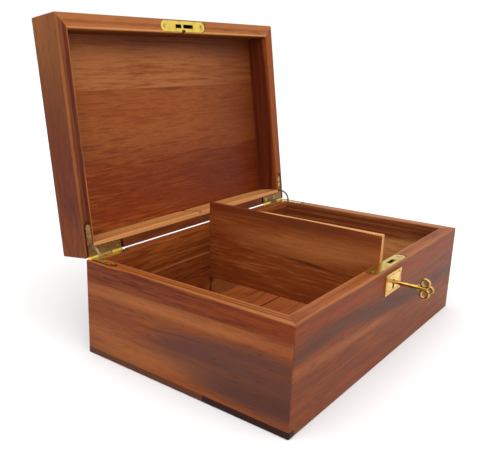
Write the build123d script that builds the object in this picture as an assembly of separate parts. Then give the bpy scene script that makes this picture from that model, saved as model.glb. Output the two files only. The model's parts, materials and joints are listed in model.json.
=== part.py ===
from build123d import *
import os
from math import acos, cos, degrees, radians, sin, sqrt

# A mitred hardwood box with a hinged lid, a sliding divider and a key lock, in millimetres.
# X runs along the lock side, Y points to the hinges, Z is up, and the origin is under the middle.

# The box, with its lid shut
box_length = 280.0
box_depth = 178.0
base_height = 75.0
lid_height = 26.0
wall = 11.0
floor_thickness = 5.0
lid_panel_thickness = 4.0
lid_panel_seat = 5.0
lid_panel_clearance = 0.1
floor_joints = (-23.0, 31.0)
lid_joints = (-35.0, 24.0)
corner_round = 1.2
rim_ease = 0.8
lid_top_ease = 1.0
foot_ease = 0.6
rim_gap = 0.3
open_angle = 98.0

# The divider and its grooves
divider_thickness = 4.0
groove_depth = 1.8
groove_side_clearance = 0.3
groove_end_clearance = 0.5
groove_swing_room = 0.8
divider_floor_gap = 0.2
divider_rim_drop = 0.3
divider_lid_clearance = 0.6
divider_top_ease = 0.6

# Hinges
leaf_thickness = 1.5
leaf_margin = 3.8
leaf_clearance = 0.25
leaf_toe_gap = 2.5
leaf_heel_gap = 3.0
mortise_side_gap = 1.8
back_leg = 34.0
side_leg = 25.0
side_leg_width = 4.8
side_leg_inset = 6.1
pin_out = 0.3
pin_radius = 0.6
pin_fixed_clearance = 0.01
pin_running_clearance = 0.05
knuckle_radius = 1.2
knuckle_clearance = 0.2
knuckle_count = 3
knuckle_end_gap = 0.3

# Stay arms, curved about the hinge pin
stay_inner = 9.0
stay_band = 1.4
stay_thickness = 1.0
stay_overlap = 16.0
stay_head_radius = 0.9
stay_head_length = 3.6
stay_slot_clearance = 0.4
stay_pocket_room = 1.0

# Screws and nails
screw_head_radius = 1.8
screw_shank_radius = 1.0
screw_length = 9.0
screw_clearance = 0.05
screw_slot_width = 0.6
screw_slot_depth = 0.5
side_screw_pitch = 5.5
side_screw_toe = 3.6
back_screw_pitch = 15.0
back_screw_toe = 5.0
nail_head_radius = 1.1
nail_head_height = 0.6
nail_shank_radius = 0.5
nail_bite = 1.6

# Lock, faceplate and strike plate
key_drop = 12.0
lock_skin = 2.5
lock_back_skin = 0.7
case_sheet = 0.8
case_clearance = 0.1
plate_thickness = 1.5
plate_margin = 1.0
plate_ear = 9.5
plate_clearance = 0.25
plate_toe_gap = 1.2
claw_bridge_clearance = 0.7
claw_band = 3.0
claw_room = 1.2
claw_tip_room = 1.0
claw_side_gap = 1.0
claw_span = 115.0
claw_arm_width = 5.0
claw_arm_lead = 9.0
slot_clearance = 0.4
slot_tail = 4.5
bolt_turn = 90.0
strike_bridge = 2.4
strike_bridge_offset = 1.5
hub_wall = 1.0
hub_clearance = 0.06
rivet_radius = 1.0
rivet_inset = 0.6
rivet_fit = 0.02

# Key and escutcheon
key_shank_radius = 1.4
key_root_radius = 1.7
key_play = 0.15
key_tip_gap = 1.0
key_reach = 19.5
bit_reach = 4.4
bit_width = 2.0
bit_length = 4.0
collar_radius = 2.3
collar_length = 1.2
bow_thickness = 2.4
bow_lobe_radius = 3.7
bow_lobe_hole = 1.9
bow_lobe_rise = 4.1
bow_lobe_out = 3.2
bow_end_radius = 3.0
bow_end_hole = 1.4
bow_end_out = 6.6
bow_ease = 0.6
escutcheon_width = 27.0
escutcheon_height = 16.0
escutcheon_thickness = 1.2
border_insets = (1.0, 2.0)
border_width = 0.4
border_depth = 0.3
keyhole_clearance = 0.6
keyhole_foot = 0.2
nail_inset = 2.0

# Places that follow from the sizes
half_length = box_length / 2
half_depth = box_depth / 2
inner_length = box_length - 2 * wall
inner_depth = box_depth - 2 * wall
lid_rim = base_height + rim_gap
box_height = lid_rim + lid_height
lid_ceiling = box_height - lid_panel_thickness
divider_seat = floor_thickness + divider_floor_gap
divider_height = base_height - divider_rim_drop - divider_seat
divider_lift = lid_ceiling - divider_lid_clearance - divider_seat - divider_height
pin_y = half_depth + pin_out
pin_z = base_height + rim_gap / 2
hinge_axis = Axis((0, pin_y, pin_z), (1, 0, 0))
back_leg_width = wall - leaf_margin
side_mid = half_length - side_leg_inset
leaf_outer = side_mid + side_leg_width / 2
leaf_heel = leaf_outer - back_leg
stay_outer = stay_inner + stay_band
stay_middle = stay_inner + stay_band / 2
stow_angle = open_angle / 2 + stay_overlap
plate_width = wall - 2 * plate_margin
plate_y = -half_depth + wall / 2
lock_front = -half_depth + lock_skin
lock_back = -half_depth + wall - groove_depth - lock_back_skin
lock_thickness = lock_back - lock_front
lock_mid = (lock_front + lock_back) / 2
key_z = base_height - key_drop
claw_inner = key_drop + rim_gap + plate_thickness + claw_bridge_clearance
claw_outer = claw_inner + claw_band
claw_thickness = lock_thickness - 2 * case_sheet - 2 * claw_side_gap
claw_tip = 90 - degrees(acos((key_drop - plate_thickness - claw_tip_room) / claw_outer))
case_half = claw_outer + claw_room + case_sheet
case_top = base_height - plate_thickness
case_low = key_z - case_half
plate_length = 2 * (case_half + plate_ear)
hub_radius = bit_reach + key_play + hub_wall
lock_plane = Plane(origin=(0, lock_mid, key_z), x_dir=(1, 0, 0), z_dir=(0, -1, 0))
pin_plane = Plane.XY.offset(pin_z)


def block(x0, x1, y0, y1, z0, z1):
    """A box between two corners."""
    return Pos((x0 + x1) / 2, (y0 + y1) / 2, (z0 + z1) / 2) * Box(x1 - x0, y1 - y0, z1 - z0)


def half_chord(radius, height):
    """Half the width of a circle at a height above its centre."""
    return sqrt(radius ** 2 - height ** 2)


def rod(radius, x0, x1, y, z):
    """A round bar along X."""
    return Pos((x0 + x1) / 2, y, z) * Rot(0, 90, 0) * Cylinder(radius, x1 - x0)


def spindle(radius, end_radius, y0, y1):
    """A round bar on the key's axis, from one radius to another."""
    bar = Cone(radius, end_radius, y1 - y0) if radius != end_radius else Cylinder(radius, y1 - y0)
    return Pos(0, (y0 + y1) / 2, key_z) * Rot(-90, 0, 0) * bar


def arc_band(inner, outer, start, end):
    """A flat curved strip about the origin, between two angles from +X."""
    def at(radius, angle):
        return (radius * cos(radians(angle)), radius * sin(radians(angle)))
    middle = (start + end) / 2
    outside = ThreePointArc(at(outer, start), at(outer, middle), at(outer, end))
    inside = ThreePointArc(at(inner, end), at(inner, middle), at(inner, start))
    sides = [Line(at(outer, end), at(inner, end)), Line(at(inner, start), at(outer, start))]
    return make_face([outside, sides[0], inside, sides[1]])


def open_lid(shape):
    """Turn a piece from the shut lid to the open lid."""
    return shape.rotate(hinge_axis, -open_angle)


def both_sides(shape):
    """A right-hand piece and its left-hand mirror image."""
    return {"right": shape, "left": mirror(shape, about=Plane.YZ)}


# Wooden walls and boards

def wall_ring(low, height):
    """Four walls in one ring with rounded outer corners."""
    outline = RectangleRounded(box_length, box_depth, corner_round)
    outline -= Rectangle(inner_length, inner_depth)
    return Pos(0, 0, low) * extrude(outline, height)


def mitred(ring):
    """Cut a ring of walls into four at the mitres."""
    def corner(side_x, side_y, inset):
        return (side_x * (half_length - inset), side_y * (half_depth - inset))
    ends = {"front": ((-1, -1), (1, -1)), "right": ((1, -1), (1, 1)),
            "back": ((1, 1), (-1, 1)), "left": ((-1, 1), (-1, -1))}
    walls = {}
    for name, (first, second) in ends.items():
        outline = Polygon(corner(*first, -wall), corner(*second, -wall),
                          corner(*second, 2 * wall), corner(*first, 2 * wall), align=None)
        walls[name] = ring & extrude(outline, box_height)
    return walls


def boards(panel, joints):
    """Cut a panel into boards at its glued joints, from front to back."""
    edges = (-box_depth, *joints, box_depth)
    for low, high in zip(edges, edges[1:]):
        yield panel & block(-box_length, box_length, low, high, -box_height, 2 * box_height)


def grooves(low, high, front_depth):
    """Upright grooves for the divider in the front and back walls."""
    half = divider_thickness / 2 + groove_side_clearance
    inner = inner_depth / 2
    return [block(-half, half, -inner - front_depth, -inner, low, high),
            block(-half, half, inner, inner + groove_depth, low, high)]


def divider():
    """The divider, drawn up as far as the shut lid allows."""
    half = inner_depth / 2 + groove_depth - groove_end_clearance
    low = divider_seat + divider_lift
    board = block(-divider_thickness / 2, divider_thickness / 2, -half, half, low, low + divider_height)
    return fillet(board.faces().sort_by(Axis.Z)[-1].edges(), divider_top_ease)


# Screws

def screw():
    """A countersunk wood screw, head up, with the top of its head at the origin."""
    head = Cone(screw_shank_radius, screw_head_radius, screw_head_radius - screw_shank_radius,
                align=(Align.CENTER, Align.CENTER, Align.MAX))
    shank = Cylinder(screw_shank_radius, screw_length, align=(Align.CENTER, Align.CENTER, Align.MAX))
    slot = Box(2 * screw_head_radius, screw_slot_width, 2 * screw_slot_depth)
    return head + shank - slot


def screw_hole():
    """The hole that the screw fills, with a little clearance."""
    head_radius = screw_head_radius + screw_clearance
    shank_radius = screw_shank_radius + screw_clearance
    head = Cone(shank_radius, head_radius, head_radius - shank_radius,
                align=(Align.CENTER, Align.CENTER, Align.MAX))
    shank = Cylinder(shank_radius, screw_length + screw_clearance,
                     align=(Align.CENTER, Align.CENTER, Align.MAX))
    return head + shank


# Right-hand hinge, with its lid half shut

def flat(x0, x1, y0, y1):
    """A rectangle between two corners."""
    return Pos((x0 + x1) / 2, (y0 + y1) / 2) * Rectangle(x1 - x0, y1 - y0)


def leaf_outline():
    """L-shaped outline of a leaf, seen from above."""
    toe_y = half_depth - side_leg + side_leg_width / 2
    side = Pos(side_mid, toe_y) * Circle(side_leg_width / 2)
    side += flat(side_mid - side_leg_width / 2, leaf_outer, toe_y, half_depth)
    return side + flat(leaf_heel, leaf_outer, half_depth - back_leg_width, half_depth)


def mortise_outline():
    """Outline of the leaf's mortise, which runs past the leaf at its outer side, toe and heel."""
    inner = side_mid - side_leg_width / 2 - leaf_clearance
    outer = leaf_outer + mortise_side_gap
    round_radius = (outer - inner) / 2
    toe_y = half_depth - side_leg - leaf_toe_gap + round_radius
    back_y = half_depth + knuckle_radius
    side = Pos((inner + outer) / 2, toe_y) * Circle(round_radius) + flat(inner, outer, toe_y, back_y)
    back = flat(leaf_heel - leaf_heel_gap, outer, half_depth - back_leg_width - leaf_clearance, back_y)
    return side + back


def leaf_screws():
    """Screw places of a leaf, on its top face."""
    back_y = half_depth - back_leg_width / 2
    back_x = leaf_heel + back_screw_toe
    side_y = half_depth - side_leg + side_screw_toe
    places = [(back_x, back_y), (back_x + back_screw_pitch, back_y),
              (side_mid, side_y), (side_mid, side_y + side_screw_pitch)]
    return [Pos(x, y, base_height) for x, y in places]


def stay_slot(thickness):
    """The slot in a leaf that the stay arm runs through."""
    drop = thickness + rim_gap / 2
    half = stay_thickness / 2 + stay_slot_clearance
    return block(side_mid - half, side_mid + half,
                 pin_y - stay_outer - stay_slot_clearance,
                 pin_y - half_chord(stay_inner, drop) + stay_slot_clearance,
                 base_height - thickness, base_height)


def stay_pocket():
    """The pocket in the corner of the walls that takes in the stay arm."""
    half = stay_head_length / 2 + stay_slot_clearance
    depth = stay_outer * sin(radians(stow_angle)) + stay_pocket_room
    back = pin_y - stay_inner * cos(radians(stow_angle)) + stay_pocket_room
    return block(side_mid - half, side_mid + half, pin_y - stay_outer - stay_pocket_room, back,
                 pin_z - depth, base_height)


def leaf_cuts():
    """What the right-hand leaf, its screws and its stay take out of the base walls."""
    mortise = extrude(mortise_outline(), leaf_thickness)
    return [Pos(0, 0, base_height - leaf_thickness) * mortise, stay_pocket(),
            *[place * screw_hole() for place in leaf_screws()]]


def hinge_leaf(knuckles, bore_radius):
    """One leaf, lying in the base rim, with the knuckles of the given numbers and room for the others."""
    leaf = Pos(0, 0, base_height - leaf_thickness) * extrude(leaf_outline(), leaf_thickness)
    pitch = back_leg / knuckle_count
    for number in range(knuckle_count):
        low = leaf_heel + number * pitch
        if number in knuckles:
            ends = low + knuckle_end_gap / 2, low + pitch - knuckle_end_gap / 2
            leaf += rod(knuckle_radius, *ends, pin_y, pin_z)
            leaf += block(*ends, half_depth, pin_y, base_height - leaf_thickness, base_height)
        else:
            leaf -= rod(knuckle_radius + knuckle_clearance, low, low + pitch, pin_y, pin_z)
    leaf -= rod(bore_radius, leaf_heel, leaf_outer, pin_y, pin_z)
    leaf -= stay_slot(leaf_thickness)
    return leaf - [place * screw_hole() for place in leaf_screws()]


def hinge_pin():
    """The pin through all the knuckles."""
    return rod(pin_radius, leaf_heel, leaf_outer, pin_y, pin_z)


def stay_arm():
    """The curved arm with a head at each end, held by both leaves of the open hinge."""
    plane = Plane(origin=(side_mid, pin_y, pin_z), x_dir=(0, -1, 0), z_dir=(-1, 0, 0))
    ends = (-stay_overlap, open_angle + stay_overlap)
    arm = extrude(plane * arc_band(stay_inner, stay_outer, *ends), stay_thickness / 2, both=True)
    for angle in ends:
        head_y = pin_y - stay_middle * cos(radians(angle))
        head_z = pin_z + stay_middle * sin(radians(angle))
        half = stay_head_length / 2
        arm += rod(stay_head_radius, side_mid - half, side_mid + half, head_y, head_z)
    return arm


# Lock

def plate_outline(grow, toe):
    """Round-ended outline of the faceplate and the strike plate, or of their mortise."""
    width = plate_width + 2 * grow
    length = plate_length + 2 * grow + toe
    return Pos(toe / 2, plate_y) * SlotOverall(length, width)


def plate_screws():
    """Screw places of the faceplate, on its top face."""
    reach = case_half + plate_ear / 2
    return [Pos(side * reach, plate_y, base_height) for side in (-1, 1)]


def plate_slot(left, right):
    """A rectangular hole in a plate for the claw."""
    half = claw_thickness / 2 + slot_clearance
    return block(left, right, lock_mid - half, lock_mid + half, base_height - plate_thickness, base_height)


def claw_path(low, high):
    """Where the claw crosses a level to the right of the key, between two heights above it."""
    return half_chord(claw_inner, high) - slot_clearance, half_chord(claw_outer, low) + slot_clearance


def faceplate():
    """The plate in the front rim, with the slot that the claw rises through."""
    left, right = claw_path(key_drop - plate_thickness, key_drop)
    plate = Pos(0, 0, base_height - plate_thickness) * extrude(plate_outline(0, 0), plate_thickness)
    plate -= plate_slot(left - slot_tail, right)
    plate -= grooves(base_height - plate_thickness, base_height, groove_depth)
    return plate - [place * screw_hole() for place in plate_screws()]


def strike_reach():
    """Ends of the strike plate's two slots: short slot, bridge, long slot."""
    right = claw_path(key_drop + rim_gap, key_drop + rim_gap + plate_thickness)[1]
    swung = radians(claw_tip + bolt_turn - 90)
    left = -claw_outer * sin(swung) - 2 * slot_clearance
    bridge = -strike_bridge_offset
    return left, bridge - strike_bridge / 2, bridge + strike_bridge / 2, right


def strike_plate():
    """The plate in the lid's rim, drawn as if it lay in the base's rim."""
    left, bridge_left, bridge_right, right = strike_reach()
    plate = Pos(0, 0, base_height - plate_thickness) * extrude(plate_outline(0, 0), plate_thickness)
    plate -= plate_slot(left, bridge_left)
    plate -= plate_slot(bridge_right, right)
    plate -= grooves(base_height - plate_thickness, base_height, groove_depth + groove_swing_room)
    return plate - [place * screw_hole() for place in plate_screws()]


def plate_cuts():
    """The mortise and screw holes of a plate in the base's rim."""
    mortise = Pos(0, 0, base_height - plate_thickness) * extrude(
        plate_outline(plate_clearance, plate_toe_gap), plate_thickness)
    return [mortise, *[place * screw_hole() for place in plate_screws()]]


def claw_pocket():
    """The pocket behind the strike plate, drawn as if it lay in the base's rim."""
    left, _, _, right = strike_reach()
    half = claw_thickness / 2 + claw_side_gap
    depth = claw_outer - key_drop - rim_gap + claw_room
    return block(left, right, lock_mid - half, lock_mid + half, base_height - depth, base_height)


def case_block(grow, low_y, high_y):
    """The lock case's outside, between two depths."""
    return block(-case_half - grow, case_half + grow, low_y, high_y, case_low - grow, case_top)


def hub_hole():
    """The round hole that the bolt's hub turns in."""
    return spindle(hub_radius + hub_clearance, hub_radius + hub_clearance, -half_depth, lock_back)


def rivet_places():
    """The four corners of the case where it is riveted."""
    across = case_half - case_sheet - rivet_radius - rivet_inset
    low = case_low + case_sheet + rivet_radius + rivet_inset
    high = case_top - rivet_radius - rivet_inset - case_sheet
    return [(side * across, height) for side in (-1, 1) for height in (low, high)]


def rivets(radius):
    """Round posts from the cover to the back of the case."""
    return [Pos(x, lock_mid, z) * Rot(90, 0, 0) * Cylinder(radius, lock_thickness)
            for x, z in rivet_places()]


def lock_case():
    """A tray with its open side to the front and its top under the faceplate."""
    tray = case_block(0, lock_front + case_sheet, lock_back)
    tray -= block(-case_half + case_sheet, case_half - case_sheet,
                  lock_front + case_sheet, lock_back - case_sheet, case_low + case_sheet, case_top)
    return tray - hub_hole() - rivets(rivet_radius + rivet_fit)


def lock_cover():
    """The sheet that shuts the case's open side."""
    sheet = case_block(0, lock_front, lock_front + case_sheet)
    return sheet - hub_hole() - rivets(rivet_radius + rivet_fit)


def key_outline(play, foot):
    """The key's end view: round shank and downward bit."""
    drop = bit_reach + play + foot
    slot = Pos(0, -drop / 2) * Rectangle(bit_width + 2 * play, drop)
    return Circle(key_shank_radius + play) + slot


def key_tunnel(play, foot, y0, y1):
    """A hole of the key's end view between two depths."""
    plane = Plane(origin=(0, y0, key_z), x_dir=(1, 0, 0), z_dir=(0, -1, 0))
    return extrude(plane * key_outline(play, foot), y0 - y1)


def hook_bolt():
    """A hub that the key's bit turns, with a curved claw on an arm."""
    claw = arc_band(claw_inner, claw_outer, claw_tip - claw_span, claw_tip)
    arm_length = claw_inner + claw_band / 2
    arm = Rot(0, 0, claw_tip - claw_span + claw_arm_lead) * Pos(arm_length / 2, 0)
    arm *= Rectangle(arm_length, claw_arm_width)
    bolt = extrude(lock_plane * (claw + arm), claw_thickness / 2, both=True)
    bolt += spindle(hub_radius, hub_radius, lock_front, lock_back)
    return bolt - key_tunnel(key_play, 0, lock_front, lock_back)


# Escutcheon and key

def escutcheon_block(inset, low_y, high_y):
    """The escutcheon's outside, or a smaller block inside it, between two depths."""
    half_x = escutcheon_width / 2 - inset
    half_z = escutcheon_height / 2 - inset
    return block(-half_x, half_x, low_y, high_y, key_z - half_z, key_z + half_z)


def escutcheon():
    """A plate with a keyhole and two incised border lines."""
    face = -half_depth - escutcheon_thickness
    plate = escutcheon_block(0, face, -half_depth)
    for inset in border_insets:
        line = escutcheon_block(inset, face, face + border_depth)
        plate -= line - escutcheon_block(inset + border_width, face, face + border_depth)
    plate -= key_tunnel(keyhole_clearance, keyhole_foot, face, -half_depth)
    return plate - [Pos(x, -half_depth, z) * nail_shank(0) for x, z in nail_places()]


def nail_places():
    """Opposite corners of the escutcheon."""
    reach_x = escutcheon_width / 2 - nail_inset
    reach_z = escutcheon_height / 2 - nail_inset
    return [(reach_x, key_z + reach_z), (-reach_x, key_z - reach_z)]


def nail_shank(bite):
    """A nail's round shank from the escutcheon's face to its bite in the wood."""
    length = escutcheon_thickness + bite
    middle = (bite - escutcheon_thickness) / 2
    return Pos(0, middle, 0) * Rot(90, 0, 0) * Cylinder(nail_shank_radius, length)


def nails():
    """Two nails with rounded heads."""
    head = Cylinder(nail_head_radius, nail_head_height, align=(Align.CENTER, Align.CENTER, Align.MIN))
    head = fillet(head.edges().sort_by(Axis.Z)[-1], nail_head_height / 2)
    head = Pos(0, -escutcheon_thickness, 0) * Rot(90, 0, 0) * head
    return [Pos(x, -half_depth, z) * (head + nail_shank(nail_bite)) for x, z in nail_places()]


def bow_ring(radius, hole, y, z):
    """A flat ring with rounded edges in the upright plane of the key's bow."""
    ring = extrude(Circle(radius) - Circle(hole), bow_thickness / 2, both=True)
    return Pos(0, y, z) * Rot(0, 90, 0) * fillet(ring.edges().filter_by(GeomType.CIRCLE), bow_ease)


def key():
    """The key in its hole: bit down in the hub, bow upright in front of the box."""
    tip = lock_back - key_tip_gap
    root = -half_depth - escutcheon_thickness - key_reach
    shank = spindle(key_root_radius, key_shank_radius, root, -half_depth - escutcheon_thickness)
    shank += spindle(key_shank_radius, key_shank_radius, -half_depth - escutcheon_thickness, tip)
    shank += spindle(collar_radius, collar_radius, root + collar_length, root + 2 * collar_length)
    bit = block(-bit_width / 2, bit_width / 2, tip - bit_length, tip, key_z - bit_reach, key_z)
    web = -bow_end_out + (bow_end_radius + bow_end_hole) / 2
    shank += spindle(key_shank_radius, key_shank_radius, root + web, root)
    bow = bow_ring(bow_end_radius, bow_end_hole, root - bow_end_out, key_z)
    for side in (-1, 1):
        bow += bow_ring(bow_lobe_radius, bow_lobe_hole, root - bow_lobe_out, key_z + side * bow_lobe_rise)
    return shank + bit + bow


# Assembly

def base_walls():
    ring = wall_ring(floor_thickness, base_height - floor_thickness)
    ring = fillet(ring.faces().sort_by(Axis.Z)[-1].edges(), rim_ease)
    cuts = grooves(floor_thickness, base_height, groove_depth) + plate_cuts()
    cuts.append(case_block(case_clearance, lock_front - case_clearance, lock_back + case_clearance))
    cuts.append(key_tunnel(keyhole_clearance, keyhole_foot, -half_depth, lock_front))
    cuts += [Pos(x, -half_depth, z) * nail_shank(nail_bite) for x, z in nail_places()]
    for cut in leaf_cuts():
        cuts += both_sides(cut).values()
    return mitred(ring - cuts)


def lid_walls():
    ring = wall_ring(lid_rim, lid_height)
    ring = fillet(ring.faces().sort_by(Axis.Z)[0].edges(), rim_ease)
    top_edges = ring.faces().sort_by(Axis.Z)[-1].outer_wire().edges()
    ring = fillet(top_edges, lid_top_ease)
    seat_x = inner_length / 2 + lid_panel_seat
    seat_y = inner_depth / 2 + lid_panel_seat
    cuts = [block(-seat_x, seat_x, -seat_y, seat_y, lid_ceiling, box_height)]
    cuts += grooves(lid_rim, lid_ceiling, groove_depth + groove_swing_room)
    rim_cuts = plate_cuts() + [claw_pocket()]
    for cut in leaf_cuts():
        rim_cuts += both_sides(cut).values()
    cuts += [mirror(cut, about=pin_plane) for cut in rim_cuts]
    return mitred(ring - cuts)


def lid_panel():
    half_x = inner_length / 2 + lid_panel_seat - lid_panel_clearance
    half_y = inner_depth / 2 + lid_panel_seat - lid_panel_clearance
    return block(-half_x, half_x, -half_y, half_y, lid_ceiling, box_height)


def floor_panel():
    panel = extrude(RectangleRounded(box_length, box_depth, corner_round), floor_thickness)
    return fillet(panel.faces().sort_by(Axis.Z)[0].edges(), foot_ease)


nodes = {}
for side, shape in base_walls().items():
    nodes[f"base_{side}_wall"] = shape
for number, board in enumerate(boards(floor_panel(), floor_joints), 1):
    nodes[f"floor_board_{number}"] = board
for side, shape in lid_walls().items():
    nodes[f"lid_{side}_wall"] = open_lid(shape)
for number, board in enumerate(boards(lid_panel(), lid_joints), 1):
    nodes[f"lid_board_{number}"] = open_lid(board)
nodes["divider"] = divider()

base_leaf = hinge_leaf((0, 2), pin_radius + pin_fixed_clearance)
lid_leaf = mirror(hinge_leaf((1,), pin_radius + pin_running_clearance), about=pin_plane)
hinge_screws = [place * screw() for place in leaf_screws()]
base_screws, lid_screws = [], []
for fastener in hinge_screws:
    base_screws += both_sides(fastener).values()
    lid_screws += both_sides(open_lid(mirror(fastener, about=pin_plane))).values()
hinge_pieces = {"hinge_base_leaf": base_leaf, "hinge_lid_leaf": open_lid(lid_leaf),
                "hinge_pin": hinge_pin(), "stay_arm": stay_arm()}
for name, shape in hinge_pieces.items():
    for side, piece in both_sides(shape).items():
        nodes[f"{side}_{name}"] = piece
nodes["hinge_base_screws"] = Compound(base_screws)
nodes["hinge_lid_screws"] = Compound(lid_screws)

plate_fasteners = [place * screw() for place in plate_screws()]
nodes["lock_case"] = lock_case()
nodes["lock_cover"] = lock_cover()
nodes["lock_rivets"] = Compound(rivets(rivet_radius))
nodes["lock_faceplate"] = faceplate()
nodes["lock_screws"] = Compound(plate_fasteners)
nodes["hook_bolt"] = hook_bolt()
nodes["strike_plate"] = open_lid(mirror(strike_plate(), about=pin_plane))
nodes["strike_screws"] = Compound([open_lid(mirror(piece, about=pin_plane)) for piece in plate_fasteners])
nodes["escutcheon"] = escutcheon()
nodes["escutcheon_nails"] = Compound(nails())
nodes["key"] = key()

os.makedirs("parts", exist_ok=True)
for name, shape in nodes.items():
    export_step(shape, f"parts/{name}.step")
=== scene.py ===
"""Looks of the wooden storage box: oiled acacia, brass fittings, a white studio and the camera."""

import json
import math
from collections import namedtuple

import bpy
from mathutils import Matrix, Vector


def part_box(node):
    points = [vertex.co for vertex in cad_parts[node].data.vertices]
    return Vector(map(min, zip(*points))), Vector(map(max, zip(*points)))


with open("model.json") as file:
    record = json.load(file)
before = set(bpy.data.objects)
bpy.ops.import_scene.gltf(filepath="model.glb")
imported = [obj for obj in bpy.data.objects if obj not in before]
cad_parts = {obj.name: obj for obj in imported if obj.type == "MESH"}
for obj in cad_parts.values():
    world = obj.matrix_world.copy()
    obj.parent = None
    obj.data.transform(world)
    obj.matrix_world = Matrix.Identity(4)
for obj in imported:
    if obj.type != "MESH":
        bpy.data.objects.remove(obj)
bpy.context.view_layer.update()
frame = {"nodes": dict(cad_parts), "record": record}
nodes = frame["nodes"]
scene = bpy.context.scene

# The pieces' materials measure in millimetres, the frame in metres
to_mm = 1000

# The lid's opening at rest in radians, and a point on its hinge pins in mm
joints = {joint["name"]: joint for joint in frame["record"]["behaviour"]["joints"]}
open_angle = math.radians(joints["lid_hinge"]["range_deg"][1])
hinge_pin = Vector(joints["lid_hinge"]["pos_m"]) * to_mm


def corners(node):
    """A node's lowest and highest corner at rest, in mm."""
    return [corner * to_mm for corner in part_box(node)]


# The base's outer faces, its walls' thickness, its rim and the divider's front end and top, in mm
low, high = corners("base_left_wall")
left = low.x
wall = high.x - low.x
rim = high.z
right = corners("base_right_wall")[1].x
front = corners("base_front_wall")[0].y
back = corners("base_back_wall")[1].y
divider_end = corners("divider")[0].y
divider_top = corners("divider")[1].z

# About the underside of the lid's panel in mm, with the lid shut
panel = rim + 22

# The range where most of a noise lies
noise_range = (0.3, 0.7)

# Wood tones, linear RGB
tan = (0.50, 0.22, 0.070)
apricot = (0.40, 0.100, 0.026)
honey = (0.31, 0.105, 0.030)
amber = (0.255, 0.068, 0.013)
copper = (0.195, 0.043, 0.008)
flame = (0.190, 0.032, 0.004)
clay = (0.155, 0.044, 0.013)
walnut = (0.135, 0.047, 0.013)
rust = (0.150, 0.034, 0.008)
ember = (0.145, 0.022, 0.003)
russet = (0.120, 0.026, 0.007)
plum = (0.082, 0.028, 0.018)
umber = (0.078, 0.024, 0.012)
maroon = (0.078, 0.011, 0.004)
char = (0.022, 0.007, 0.005)


class Graph:
    """One material and short calls for the nodes that colour it."""

    def __init__(self, name):
        self.material = bpy.data.materials.new(name)
        self.material.use_nodes = True
        self.tree = self.material.node_tree
        self.shader = self.tree.nodes["Principled BSDF"]

    def feed(self, socket, value):
        """Link a socket to another node, or set it to a number or colour."""
        if isinstance(value, bpy.types.NodeSocket):
            self.tree.links.new(value, socket)
        elif socket.type == "RGBA":
            socket.default_value = (*value, 1)
        else:
            socket.default_value = value

    def node(self, kind, inputs, output=0, **settings):
        node = self.tree.nodes.new(kind)
        for name, value in settings.items():
            setattr(node, name, value)
        for name, value in inputs.items():
            self.feed(node.inputs[name], value)
        return node.outputs[output]

    def sum(self, a, b):
        return self.node("ShaderNodeMath", {0: a, 1: b}, operation="ADD")

    def product(self, a, b):
        return self.node("ShaderNodeMath", {0: a, 1: b}, operation="MULTIPLY")

    def span(self, value, low, high, to_low=0.0, to_high=1.0, kind="SMOOTHSTEP"):
        """Map low…high to to_low…to_high, held at both ends."""
        inputs = {"Value": value, "From Min": low, "From Max": high, "To Min": to_low, "To Max": to_high}
        return self.node("ShaderNodeMapRange", inputs, interpolation_type=kind)

    def swing(self, noise, low, high):
        """Map the range where most of a noise lies to low…high."""
        return self.span(noise, *noise_range, low, high, "LINEAR")

    def place(self, **mapping):
        """A point of the piece in mm, turned and moved as the mapping says."""
        point = self.node("ShaderNodeTexCoord", {}, "Object")
        scale = (to_mm, to_mm, to_mm)
        return self.node("ShaderNodeMapping", {"Vector": point, "Scale": scale, **mapping})

    def axes(self, vector):
        """The three coordinates of a vector."""
        node = self.tree.nodes.new("ShaderNodeSeparateXYZ")
        self.feed(node.inputs[0], vector)
        return node.outputs

    def noise(self, place, lengths, detail=2.0, roughness=0.5):
        """Noise whose patches have the given lengths along the three directions."""
        scale = [1 / length for length in lengths]
        scaled = self.node("ShaderNodeMapping", {"Vector": place, "Scale": scale})
        inputs = {"Vector": scaled, "Scale": 1.0, "Detail": detail, "Roughness": roughness}
        return self.node("ShaderNodeTexNoise", inputs)

    def mix(self, amount, a, b, blend="MIX"):
        node = self.tree.nodes.new("ShaderNodeMix")
        node.data_type = "RGBA"
        node.blend_type = blend
        self.feed(node.inputs[0], amount)
        self.feed(node.inputs[6], a)
        self.feed(node.inputs[7], b)
        return node.outputs[2]

    def ramp(self, value, stops):
        node = self.tree.nodes.new("ShaderNodeValToRGB")
        elements = node.color_ramp.elements
        while len(elements) < len(stops):
            elements.new(0.5)
        for element, (position, colour) in zip(elements, stops):
            element.position = position
            element.color = (*colour, 1)
        self.feed(node.inputs[0], value)
        return node.outputs[0]

    def bump(self, height, strength, distance):
        inputs = {"Height": height, "Strength": strength, "Distance": distance}
        self.feed(self.shader.inputs["Normal"], self.node("ShaderNodeBump", inputs))

    def finish(self, **sockets):
        for name, value in sockets.items():
            self.feed(self.shader.inputs[name.replace("_", " ")], value)
        return self.material


# A patch of colour in a board: its centre and half sizes along the grain, across it and through the
# board in mm, its tilt in degrees, how soft its edge is, its colour and its strength
Patch = namedtuple("Patch", "centre half tilt soft colour strength")

# A glued joint inside a board's face: its height at mid length, its slope and the tones above it
Joint = namedtuple("Joint", "level slope tones")


def grain_place(graph, order, lid):
    """A point of the board in mm as (along the grain, across it, through it), with the lid shut."""
    shutting = {}
    if lid:
        turn = Matrix.Rotation(open_angle, 3, "X")
        shutting = {"Rotation": (open_angle, 0, 0), "Location": hinge_pin - turn @ hinge_pin}
    axes = graph.axes(graph.place(**shutting))
    return graph.node("ShaderNodeCombineXYZ", {i: axes[axis] for i, axis in enumerate(order)})


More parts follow.
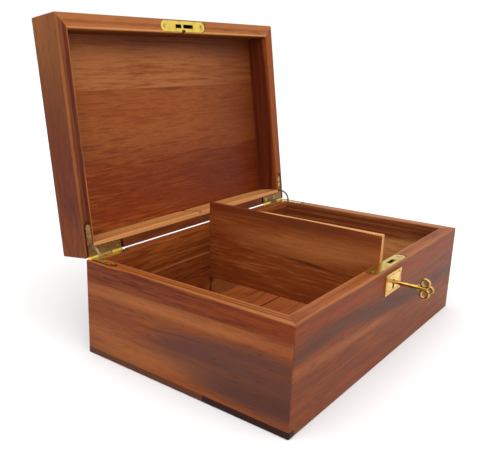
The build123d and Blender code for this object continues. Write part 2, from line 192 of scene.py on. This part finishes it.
def shifted(graph, place, offset, amount):
    """The place moved by the offset times an amount that varies over the board."""
    inputs = {0: amount, 1: offset, 2: place}
    return graph.node("ShaderNodeVectorMath", inputs, operation="MULTIPLY_ADD")


def patch_mask(graph, place, patch):
    """The patch's strength inside it, half of that at its half sizes, fading to nothing beyond."""
    tilt = -math.radians(patch.tilt)
    centre = Matrix.Rotation(tilt, 3, "Z") @ Vector(patch.centre)
    moved = graph.node("ShaderNodeMapping", {"Vector": place, "Rotation": (0, 0, tilt), "Location": -centre})
    scale = [(1 - patch.soft / 2) / size for size in patch.half]
    sized = graph.node("ShaderNodeMapping", {"Vector": moved, "Scale": scale})
    ball = graph.node("ShaderNodeTexGradient", {"Vector": sized}, 1, gradient_type="SPHERICAL")
    return graph.span(ball, 0.0, patch.soft, 0.0, patch.strength)


# Sizes of the wood's noises in mm: along the grain, across it and through the board
sway_size = (130, 34, 34)
broad_size = (190, 26, 26)
streak_size = (330, 4.5, 4.5)
line_size = (32, 2.3, 2.3)
fibre_size = (30, 0.8, 0.8)
pore_size = (9, 0.7, 0.7)

# How far each noise moves the place among a board's tones, which lie from 0 to 1
broad_share = 0.22
streak_share = 0.2
line_share = 0.34
fibre_share = 0.16

# Where a board's three tones lie, how much its pores darken it and how deep they are beside its fibres
tone_places = (0.1, 0.5, 0.9)
pore_share = 0.2
pore_depth = 0.7

# How far the grain sways, half the width of a glued joint's edge, and how far apart in the noise two
# boards and the two sides of a joint lie, in mm
wave = 6.0
joint_edge = 0.4
board_step = Vector((71, 37, 53))
joint_step = (90, 130, 40)


def wood(name, order, tones, seed, patches=(), joint=None, lid=False, figure=1.0, fine=1.0):
    """Oiled acacia: wavy streaks, fine fibres and pores along the grain, with the board's patches, some of
    them painted shade, painted light or painted highlights.
    """
    graph = Graph(name)
    place = grain_place(graph, order, lid)
    figured = graph.node("ShaderNodeVectorMath", {0: place, 1: board_step * seed})
    if joint:
        along, across, _ = graph.axes(place)
        level = graph.sum(across, graph.product(along, -joint.slope))
        above = graph.span(level, joint.level - joint_edge, joint.level + joint_edge)
        figured = shifted(graph, figured, joint_step, above)

    sway = graph.noise(figured, sway_size)
    bent = shifted(graph, figured, (0, wave, wave), sway)
    broad = graph.noise(bent, broad_size)
    streak = graph.noise(bent, streak_size, detail=5.0, roughness=0.6)
    line = graph.noise(bent, line_size, detail=3.0, roughness=0.65)
    fibre = graph.noise(bent, fibre_size, detail=2.0, roughness=0.6)
    pore = graph.span(graph.noise(bent, pore_size, detail=1.0), low=0.58, high=0.72)

    tone = 0.5
    shares = ((streak, streak_share * figure), (broad, broad_share * figure),
              (line, line_share * fine), (fibre, fibre_share * fine))
    for noise, share in shares:
        tone = graph.sum(tone, graph.swing(noise, -share, share))
    colour = graph.ramp(tone, list(zip(tone_places, tones)))
    if joint:
        colour = graph.mix(above, colour, graph.ramp(tone, list(zip(tone_places, joint.tones))))

    ragged = graph.swing(streak, low=0.55, high=1.25)
    swayed = shifted(graph, place, (0, wave, 0), graph.sum(sway, -0.5))
    for patch in patches:
        mask = graph.product(patch_mask(graph, swayed, patch), ragged)
        colour = graph.mix(mask, colour, patch.colour)
    colour = graph.mix(graph.product(pore, pore_share * fine), colour, umber, "MULTIPLY")

    height = graph.sum(fibre, graph.product(pore, -pore_depth))
    graph.bump(height, strength=0.12, distance=0.0002)
    sheen = graph.swing(fibre, low=0.36, high=0.52)
    return graph.finish(Base_Color=colour, Roughness=sheen, Specular_IOR_Level=0.08)


# Ways a board can lie, as axis orders: along the grain, across it and through the board
along_x = (0, 2, 1)
along_y = (1, 2, 0)
lying = (0, 1, 2)


def floor_ends(middle, left_colour):
    """The ends of a floor board, which show under the side walls, in tones of their own."""
    return [Patch((right + 2, middle, 0), (8, 90, 30), 0, 0.3, clay, 1.7),
            Patch((left - 2, middle, 0), (8, 90, 30), 0, 0.3, left_colour, 1.7)]


# Tones, glued joints and patches of each board, after the photograph where it shows them; patches marked
# painted shade, light or highlights stand in for light
boards = {
    "base_left_wall": dict(order=along_y, tones=(russet, clay, copper), seed=1, figure=0.7, fine=1.4,
                           joint=Joint(60.75, -0.0197, (maroon, russet, rust)), patches=[
        Patch((-75, 30, left), (95, 20, 9), 0, 0.4, plum, 1.1),
        Patch((-85, 20, left), (60, 9, 9), 0, 1.0, char, 0.3),
        Patch((14, 40, left), (26, 0.9, 5), -4, 0.8, char, 0.45),
        Patch((66, 36, left), (25, 7, 5), 0, 1.0, russet, 0.6),
        Patch((70, 20, left), (30, 10, 5), 0, 1.0, honey, 0.3),
        Patch((25, 15, left), (40, 7, 5), -8, 1.0, honey, 0.35),
        Patch((10, 55.5, left), (90, 4, 5), -1.1, 0.9, honey, 0.5),
        Patch((-70, 70, left), (50, 6, 5), 0, 1.0, flame, 0.5),
        Patch((0, rim + 1, left + wall / 2), (150, 1.6, 9), 0, 0.3, amber, 1.1),
        Patch((0, rim, left + 4.4), (150, 1.2, 0.6), 0, 0.6, russet, 0.9),
        Patch((0, rim, left + 7.8), (150, 1.2, 0.5), 0, 0.6, maroon, 0.6),
        # Painted highlights along the rim's outer and inner eased edges
        Patch((-50, rim, left + 1.5), (90, 1.4, 1.6), 0, 0.6, honey, 1.1),
        Patch((0, rim, left + 10.5), (140, 1.2, 1.6), 0, 0.6, honey, 1.1)]),
    "base_front_wall": dict(order=along_x, tones=(russet, rust, copper), seed=2, figure=0.8, fine=1.7,
                            patches=[
        Patch((-105, 53.5, front), (70, 5, 6), 1, 0.9, umber, 1.1),
        Patch((-20, 48.5, front), (80, 5.5, 6), -6.7, 0.9, umber, 1.1),
        Patch((80, 41, front), (95, 5, 6), -3, 0.9, umber, 1.1),
        Patch((-70, 39, front), (90, 3, 5), -2.6, 0.8, honey, 0.4),
        Patch((-90, 27, front), (60, 2, 5), -2, 0.9, russet, 0.6),
        Patch((-10, 14, front), (120, 3, 5), -2, 0.9, russet, 0.6),
        Patch((0, 66, front), (170, 6, 5), 0, 0.9, flame, 0.7),
        Patch((0, rim + 1, front + wall / 2), (190, 1.6, 9), 0, 0.3, amber, 1.1),
        Patch((0, rim, front + 6), (190, 1.2, 0.9), 0, 0.8, russet, 0.6),
        # Painted highlights along the rim's outer and inner eased edges
        Patch((0, rim, front + 0.5), (190, 1.2, 1.2), 0, 0.8, honey, 0.9),
        Patch((0, rim, front + 10.5), (190, 1.2, 1.2), 0, 0.8, honey, 0.9),
        # Painted shade: the recess at the end of the lock's faceplate darkened
        Patch((29.5, rim - 1.8, front + wall / 2), (3, 1.3, 6), 0, 0.3, char, 1.7)]),
    "base_back_wall": dict(order=along_x, tones=(maroon, rust, copper), seed=3, figure=1.5, fine=1.7,
                           joint=Joint(51, 0.0, (russet, copper, amber)), patches=[
        Patch((0, 51, back - wall), (150, 0.7, 4), 0, 0.8, honey, 1.0),
        # Painted light: the inner back wall lightened low down right of the divider, where it lies in shade
        Patch((62, 16, back - wall), (60, 24, 4), 0, 0.4, honey, 1.3),
        Patch((0, rim + 1, back - 5), (150, 1.6, 7), 0, 0.4, copper, 1.0)]),
    "base_right_wall": dict(order=along_y, tones=(honey, tan, tan), seed=4, figure=1.1, patches=[
        Patch((20, 70, right - wall), (150, 13, 6), 0, 0.4, russet, 1.0),
        Patch((0, 37, right + 1), (200, 80, 5), 0, 0.3, clay, 1.0),
        Patch((0, rim + 1, right - wall / 2), (150, 1.6, 9), 0, 0.3, honey, 1.0)]),
    "floor_board_1": dict(order=lying, tones=(amber, apricot, apricot), seed=5, patches=[
        Patch((0, front - 2, 0), (300, 6, 30), 0, 0.3, rust, 1.7),
        *floor_ends(-56, char)]),
    "floor_board_2": dict(order=lying, tones=(amber, apricot, apricot), seed=6,
                          patches=floor_ends(4, umber)),
    "floor_board_3": dict(order=lying, tones=(copper, apricot, apricot), seed=7, figure=1.3, patches=[
        Patch((0, 31.6, 5), (150, 0.9, 3), 0, 0.6, umber, 1.2),
        Patch((0, back + 2, 0), (300, 6, 30), 0, 0.3, rust, 1.7),
        *floor_ends(60, umber)]),
    "lid_front_wall": dict(order=along_x, tones=(copper, honey, honey), seed=8, lid=True, patches=[
        # Painted shade: the inner face darkened, as it faces down with the lid open
        Patch((0, 90, front + wall), (170, 12, 5), 0, 0.4, russet, 1.1),
        Patch((0, 90, front - 1), (200, 18, 2.6), 0, 0.4, rust, 1.1),
        Patch((0, rim, front + 6), (190, 2, 1.2), 0, 0.8, copper, 0.7),
        # Painted highlight along the rim's inner eased edge
        Patch((0, rim, front + 10.4), (190, 1.6, 1.2), 0, 0.6, tan, 0.9),
        # Painted shade: the recess for the lock in the lid's front wall darkened
        Patch((6, rim + 7, front + wall / 2), (26, 5, 3.5), 0, 0.3, char, 1.7)]),
    "lid_back_wall": dict(order=along_x, tones=(maroon, russet, rust), seed=9, lid=True, patches=[
        # The ledge, painted light tan: partly its colour, partly painted light for a face turned up to the
        # light
        Patch((0, 86, back - 13), (190, 15, 4), 0, 0.3, tan, 1.4),
        Patch((0, 79, back - 13), (190, 7, 4), 0, 0.4, apricot, 0.45),
        Patch((0, rim - 1, back - 9.2), (190, 4, 2.0), 0, 0.3, tan, 1.3),
        # Painted shade: the hinges' recesses in the lid's back rim darkened
        Patch((-100.8, rim + 2.3, back - 3.5), (2.4, 1.5, 6), 0, 0.3, char, 1.7),
        Patch((100.8, rim + 2.3, back - 3.5), (2.4, 1.5, 6), 0, 0.3, char, 1.7)]),
    "lid_left_wall": dict(order=along_y, tones=(umber, rust, clay), seed=10, lid=True, fine=2.0,
                          patches=[
        Patch((-70, 90, left), (70, 20, 5), 0, 1.0, walnut, 1.0),
        Patch((-85, 92, left), (40, 14, 5), 0, 1.0, honey, 0.3),
        Patch((15, 90, left), (60, 20, 5), 0, 1.0, maroon, 0.75),
        # Painted highlight along the rim's outer eased edge
        Patch((0, rim - 1, left + 1.5), (130, 2.5, 1.8), 0, 0.5, honey, 0.8),
        Patch((0, rim - 1, left + 7.5), (130, 3, 2.2), 0, 0.5, maroon, 1.1),
        # Painted highlight along the rim's inner eased edge
        Patch((0, rim, left + 10.7), (130, 1.6, 1.2), 0, 0.6, honey, 1.2)]),
    "lid_right_wall": dict(order=along_y, tones=(copper, copper, amber), seed=11, lid=True, patches=[
        Patch((0, 93, right - 12), (160, 15.5, 4), 0, 0.2, maroon, 0.95)]),
    "lid_board_1": dict(order=lying, tones=(copper, honey, honey), seed=12, lid=True,
                        figure=0.8, fine=0.85, patches=[
        # Painted shade: the panel darkened under the lid's front wall, nearly black towards its right corner
        Patch((10, -82, panel), (170, 15, 9), 0, 0.9, maroon, 1.0),
        Patch((115, -82, panel), (45, 22, 9), 0, 1.0, char, 0.6),
        # Painted shadow: the panel darkened towards the lid's right wall
        Patch((135, 0, panel - 1), (70, 170, 30), 0, 1.0, russet, 0.9)]),
    "lid_board_2": dict(order=lying, tones=(rust, amber, copper), seed=13, lid=True,
                        figure=1.1, fine=1.2, patches=[
        Patch((0, 24, panel), (150, 9, 9), 0, 1.0, ember, 0.6),
        Patch((2, -34, panel), (14, 1.5, 9), 0, 1.0, russet, 0.9),
        # Painted shadow: the panel darkened towards the lid's right wall
        Patch((135, 0, panel - 1), (70, 170, 30), 0, 1.0, russet, 0.9)]),
    "lid_board_3": dict(order=lying, tones=(ember, flame, amber), seed=14, lid=True,
                        figure=1.3, fine=1.7, patches=[
        Patch((0, 38, panel), (130, 12, 9), 0, 1.0, ember, 0.7),
        Patch((20, 66, panel), (110, 9, 9), 2, 1.0, flame, 0.7),
        # Painted shadow: the panel darkened towards the lid's right wall
        Patch((135, 30, panel - 1), (100, 90, 30), 0, 1.0, maroon, 0.8)]),
    "divider": dict(order=along_y, tones=(rust, copper, honey), seed=15, figure=1.1, fine=1.3, patches=[
        Patch((-35, 76, 0), (55, 9, 9), -3, 1.0, honey, 0.9),
        Patch((50, 74, 0), (30, 6, 9), 0, 1.0, honey, 0.5),
        Patch((-22, 61, 0), (20, 1.4, 9), 4, 0.9, char, 0.8),
        Patch((0, 94, 0), (130, 7, 9), 0, 0.9, russet, 1.1),
        Patch((90, 70, 0), (50, 40, 9), 0, 1.0, ember, 0.7),
        Patch((0, 29, 0), (140, 18, 9), 0, 0.8, ember, 0.35),
        Patch((-50, 42, 0), (50, 5, 9), 0, 1.0, copper, 0.6),
        # Painted light: the front end face is painted tan to look brightly lit
        Patch((divider_end - 0.4, 60, 0), (0.6, 60, 9), 0, 0.4, tan, 1.2),
        # Painted highlight along the top edge
        Patch((0, divider_top + 0.7, 0), (140, 0.9, 9), 0, 0.3, tan, 1.0)]),
}


# Sizes in mm of tarnish clouds on plain fittings, of the small clouds on the lid's hinge leaves, which paint
# glints, and of the rubbing marks
cloud_size = 7.0
glint_cloud_size = 2.5
rub_size = (9, 0.35, 9)

# How much rougher a metal is where it is most tarnished
tarnish_roughness = 0.16


def metal(name, tone, shade, rough, cloud=cloud_size):
    """Polished metal with fine rubbing marks and clouds where it is tarnished; on the key the clouds are
    painted dark reflections, and at the small size of the lid's hinge leaves they are painted glints.
    """
    graph = Graph(name)
    place = graph.place()
    tarnish_and_painted_light = graph.noise(place, (cloud, cloud, cloud), detail=3.0, roughness=0.6)
    rub = graph.noise(place, rub_size, detail=2.0, roughness=0.6)
    colour = graph.mix(graph.span(tarnish_and_painted_light, low=0.42, high=0.7, to_high=0.6), tone, shade)
    graph.bump(rub, strength=0.06, distance=0.0001)
    roughness = graph.swing(tarnish_and_painted_light, rough, rough + tarnish_roughness)
    return graph.finish(Base_Color=colour, Metallic=1.0, Roughness=roughness)


# The record's metal slots, and the pieces that look different in the photograph
metals = {
    "brass": metal("brass", tone=(0.82, 0.60, 0.11), shade=(0.55, 0.34, 0.05), rough=0.16),
    "brass_dark": metal("dull_brass", tone=(0.46, 0.36, 0.20), shade=(0.20, 0.13, 0.06), rough=0.3),
    "brass_screw": metal("screw_brass", tone=(0.46, 0.35, 0.15), shade=(0.20, 0.13, 0.05), rough=0.25),
    # The key's dark clouds are painted dark reflections
    "brass_key": metal("key_brass", tone=(0.54, 0.33, 0.078), shade=(0.13, 0.065, 0.014), rough=0.1),
    "steel": metal("lock_steel", tone=(0.16, 0.15, 0.14), shade=(0.08, 0.07, 0.06), rough=0.35),
}
# The lid's hinge leaves: brass darkened as painted shade and painted dark reflections of the wood, with
# small clouds as painted glints
painted_shade_brass = metal("painted_shade_brass", tone=(0.22, 0.11, 0.035), shade=(0.06, 0.027, 0.009), rough=0.22,
                     cloud=glint_cloud_size)
warm_brass = metal("warm_brass", tone=(0.79, 0.51, 0.13), shade=(0.60, 0.34, 0.06), rough=0.2)
# The left lid leaf: brass darkened as painted shade, with small light and dark clouds as painted glints
painted_shade_glint_brass = metal("painted_shade_glint_brass", tone=(0.52, 0.32, 0.12), shade=(0.05, 0.022, 0.008), rough=0.22,
                   cloud=glint_cloud_size)
olive_brass = metal("olive_brass", tone=(0.66, 0.47, 0.055), shade=(0.46, 0.31, 0.03), rough=0.2)
special = {"lock_faceplate": olive_brass, "left_hinge_lid_leaf": painted_shade_glint_brass,
           "right_hinge_lid_leaf": painted_shade_brass, "escutcheon": warm_brass, "escutcheon_nails": warm_brass}
slot_of = {part["node"]: part["material_slot"] for part in frame["record"]["subparts"]}

for name, piece in nodes.items():
    if name in boards:
        finish = wood(name, **boards[name])
    else:
        finish = special.get(name, metals[slot_of[name]])
    piece.data.materials.clear()
    piece.data.materials.append(finish)


# The studio floor's width, how far it lies under the box and the size of its clouds, in metres
floor_width = 40
floor_drop = 0.0002
floor_cloud = 0.4

# Its darkest and lightest tone, linear RGB
floor_greys = ((0.76, 0.76, 0.76), (0.79, 0.79, 0.79))


def studio_floor():
    """A broad pale floor with a barely uneven tone, a hair under the box."""
    bpy.ops.mesh.primitive_plane_add(size=floor_width, location=(0, 0, -floor_drop))
    floor = bpy.context.object
    floor.name = "studio_floor"
    graph = Graph("pale_floor")
    place = graph.node("ShaderNodeTexCoord", {}, "Object")
    cloud = graph.noise(place, (floor_cloud, floor_cloud, floor_cloud))
    tone = graph.ramp(cloud, list(zip(noise_range, floor_greys)))
    floor.data.materials.append(graph.finish(Base_Color=tone, Roughness=0.7, Specular_IOR_Level=0.1))


def studio_world():
    """White all round at eye height, dimmer overhead."""
    world = bpy.data.worlds.new("studio")
    scene.world = world
    world.use_nodes = True
    tree = world.node_tree
    place = tree.nodes.new("ShaderNodeTexCoord")
    axes = tree.nodes.new("ShaderNodeSeparateXYZ")
    fade = tree.nodes.new("ShaderNodeMapRange")
    fade.interpolation_type = "SMOOTHSTEP"
    for name, value in {"From Min": 0.35, "From Max": 0.8, "To Min": 1.0, "To Max": 0.55}.items():
        fade.inputs[name].default_value = value
    tree.links.new(place.outputs["Generated"], axes.inputs[0])
    tree.links.new(axes.outputs[2], fade.inputs[0])
    tree.links.new(fade.outputs[0], tree.nodes["Background"].inputs["Strength"])
    tree.nodes["Background"].inputs["Color"].default_value = (1, 1, 1, 1)


def overhead_light(direction, spread, strength):
    """A broad light from above, so soft that its shadows have no sharp edge."""
    light = bpy.data.lights.new("overhead_light", "SUN")
    light.angle = math.radians(spread)
    light.energy = strength
    lamp = bpy.data.objects.new("overhead_light", light)
    scene.collection.objects.link(lamp)
    lamp.rotation_euler = Vector(direction).to_track_quat("Z", "Y").to_euler()


def softbox(name, place, target, size, power):
    """A rectangular lamp aimed at a target, with places and sizes in metres."""
    light = bpy.data.lights.new(name, "AREA")
    light.shape = "RECTANGLE"
    light.size, light.size_y = size
    light.energy = power
    lamp = bpy.data.objects.new(name, light)
    scene.collection.objects.link(lamp)
    lamp.location = place
    lamp.rotation_euler = (Vector(target) - Vector(place)).to_track_quat("-Z", "Y").to_euler()


# The photograph's camera, fitted to the box's corners: its place in metres, its azimuth, elevation and
# roll in degrees, its lens in mm and its shift as a share of the picture's width
camera_place = (-0.432064, -0.249906, 0.222062)
camera_angles = (-49.099, 15.677, 0.234)
camera_lens = 44.911
camera_shift = (0.154, 0.0115)


def photo_camera():
    """The camera at the photograph's place, turned by azimuth, elevation and roll."""
    azimuth, elevation, roll = (math.radians(angle) for angle in camera_angles)
    back = Vector((math.sin(azimuth) * math.cos(elevation), -math.cos(azimuth) * math.cos(elevation),
                   math.sin(elevation)))
    right = (-back).cross(Vector((0, 0, 1))).normalized()
    up = right.cross(-back)
    turned_right = right * math.cos(roll) + up * math.sin(roll)
    turned_up = up * math.cos(roll) - right * math.sin(roll)
    data = bpy.data.cameras.new("camera")
    data.sensor_width = 36
    data.lens = camera_lens
    data.shift_x, data.shift_y = camera_shift
    data.clip_start = 0.01
    camera = bpy.data.objects.new("camera", data)
    scene.collection.objects.link(camera)
    turn = Matrix((turned_right, turned_up, back)).transposed()
    camera.matrix_world = Matrix.Translation(camera_place) @ turn.to_4x4()
    scene.camera = camera


studio_floor()
studio_world()
overhead_light(direction=(-0.64, -0.36, 1.2), spread=100, strength=3.2)
softbox("front_softbox", place=(0.5, -1.6, 0.9), target=(0, 0, 0.1), size=(1.4, 1.2), power=2)
photo_camera()
scene.view_settings.view_transform = "Standard"
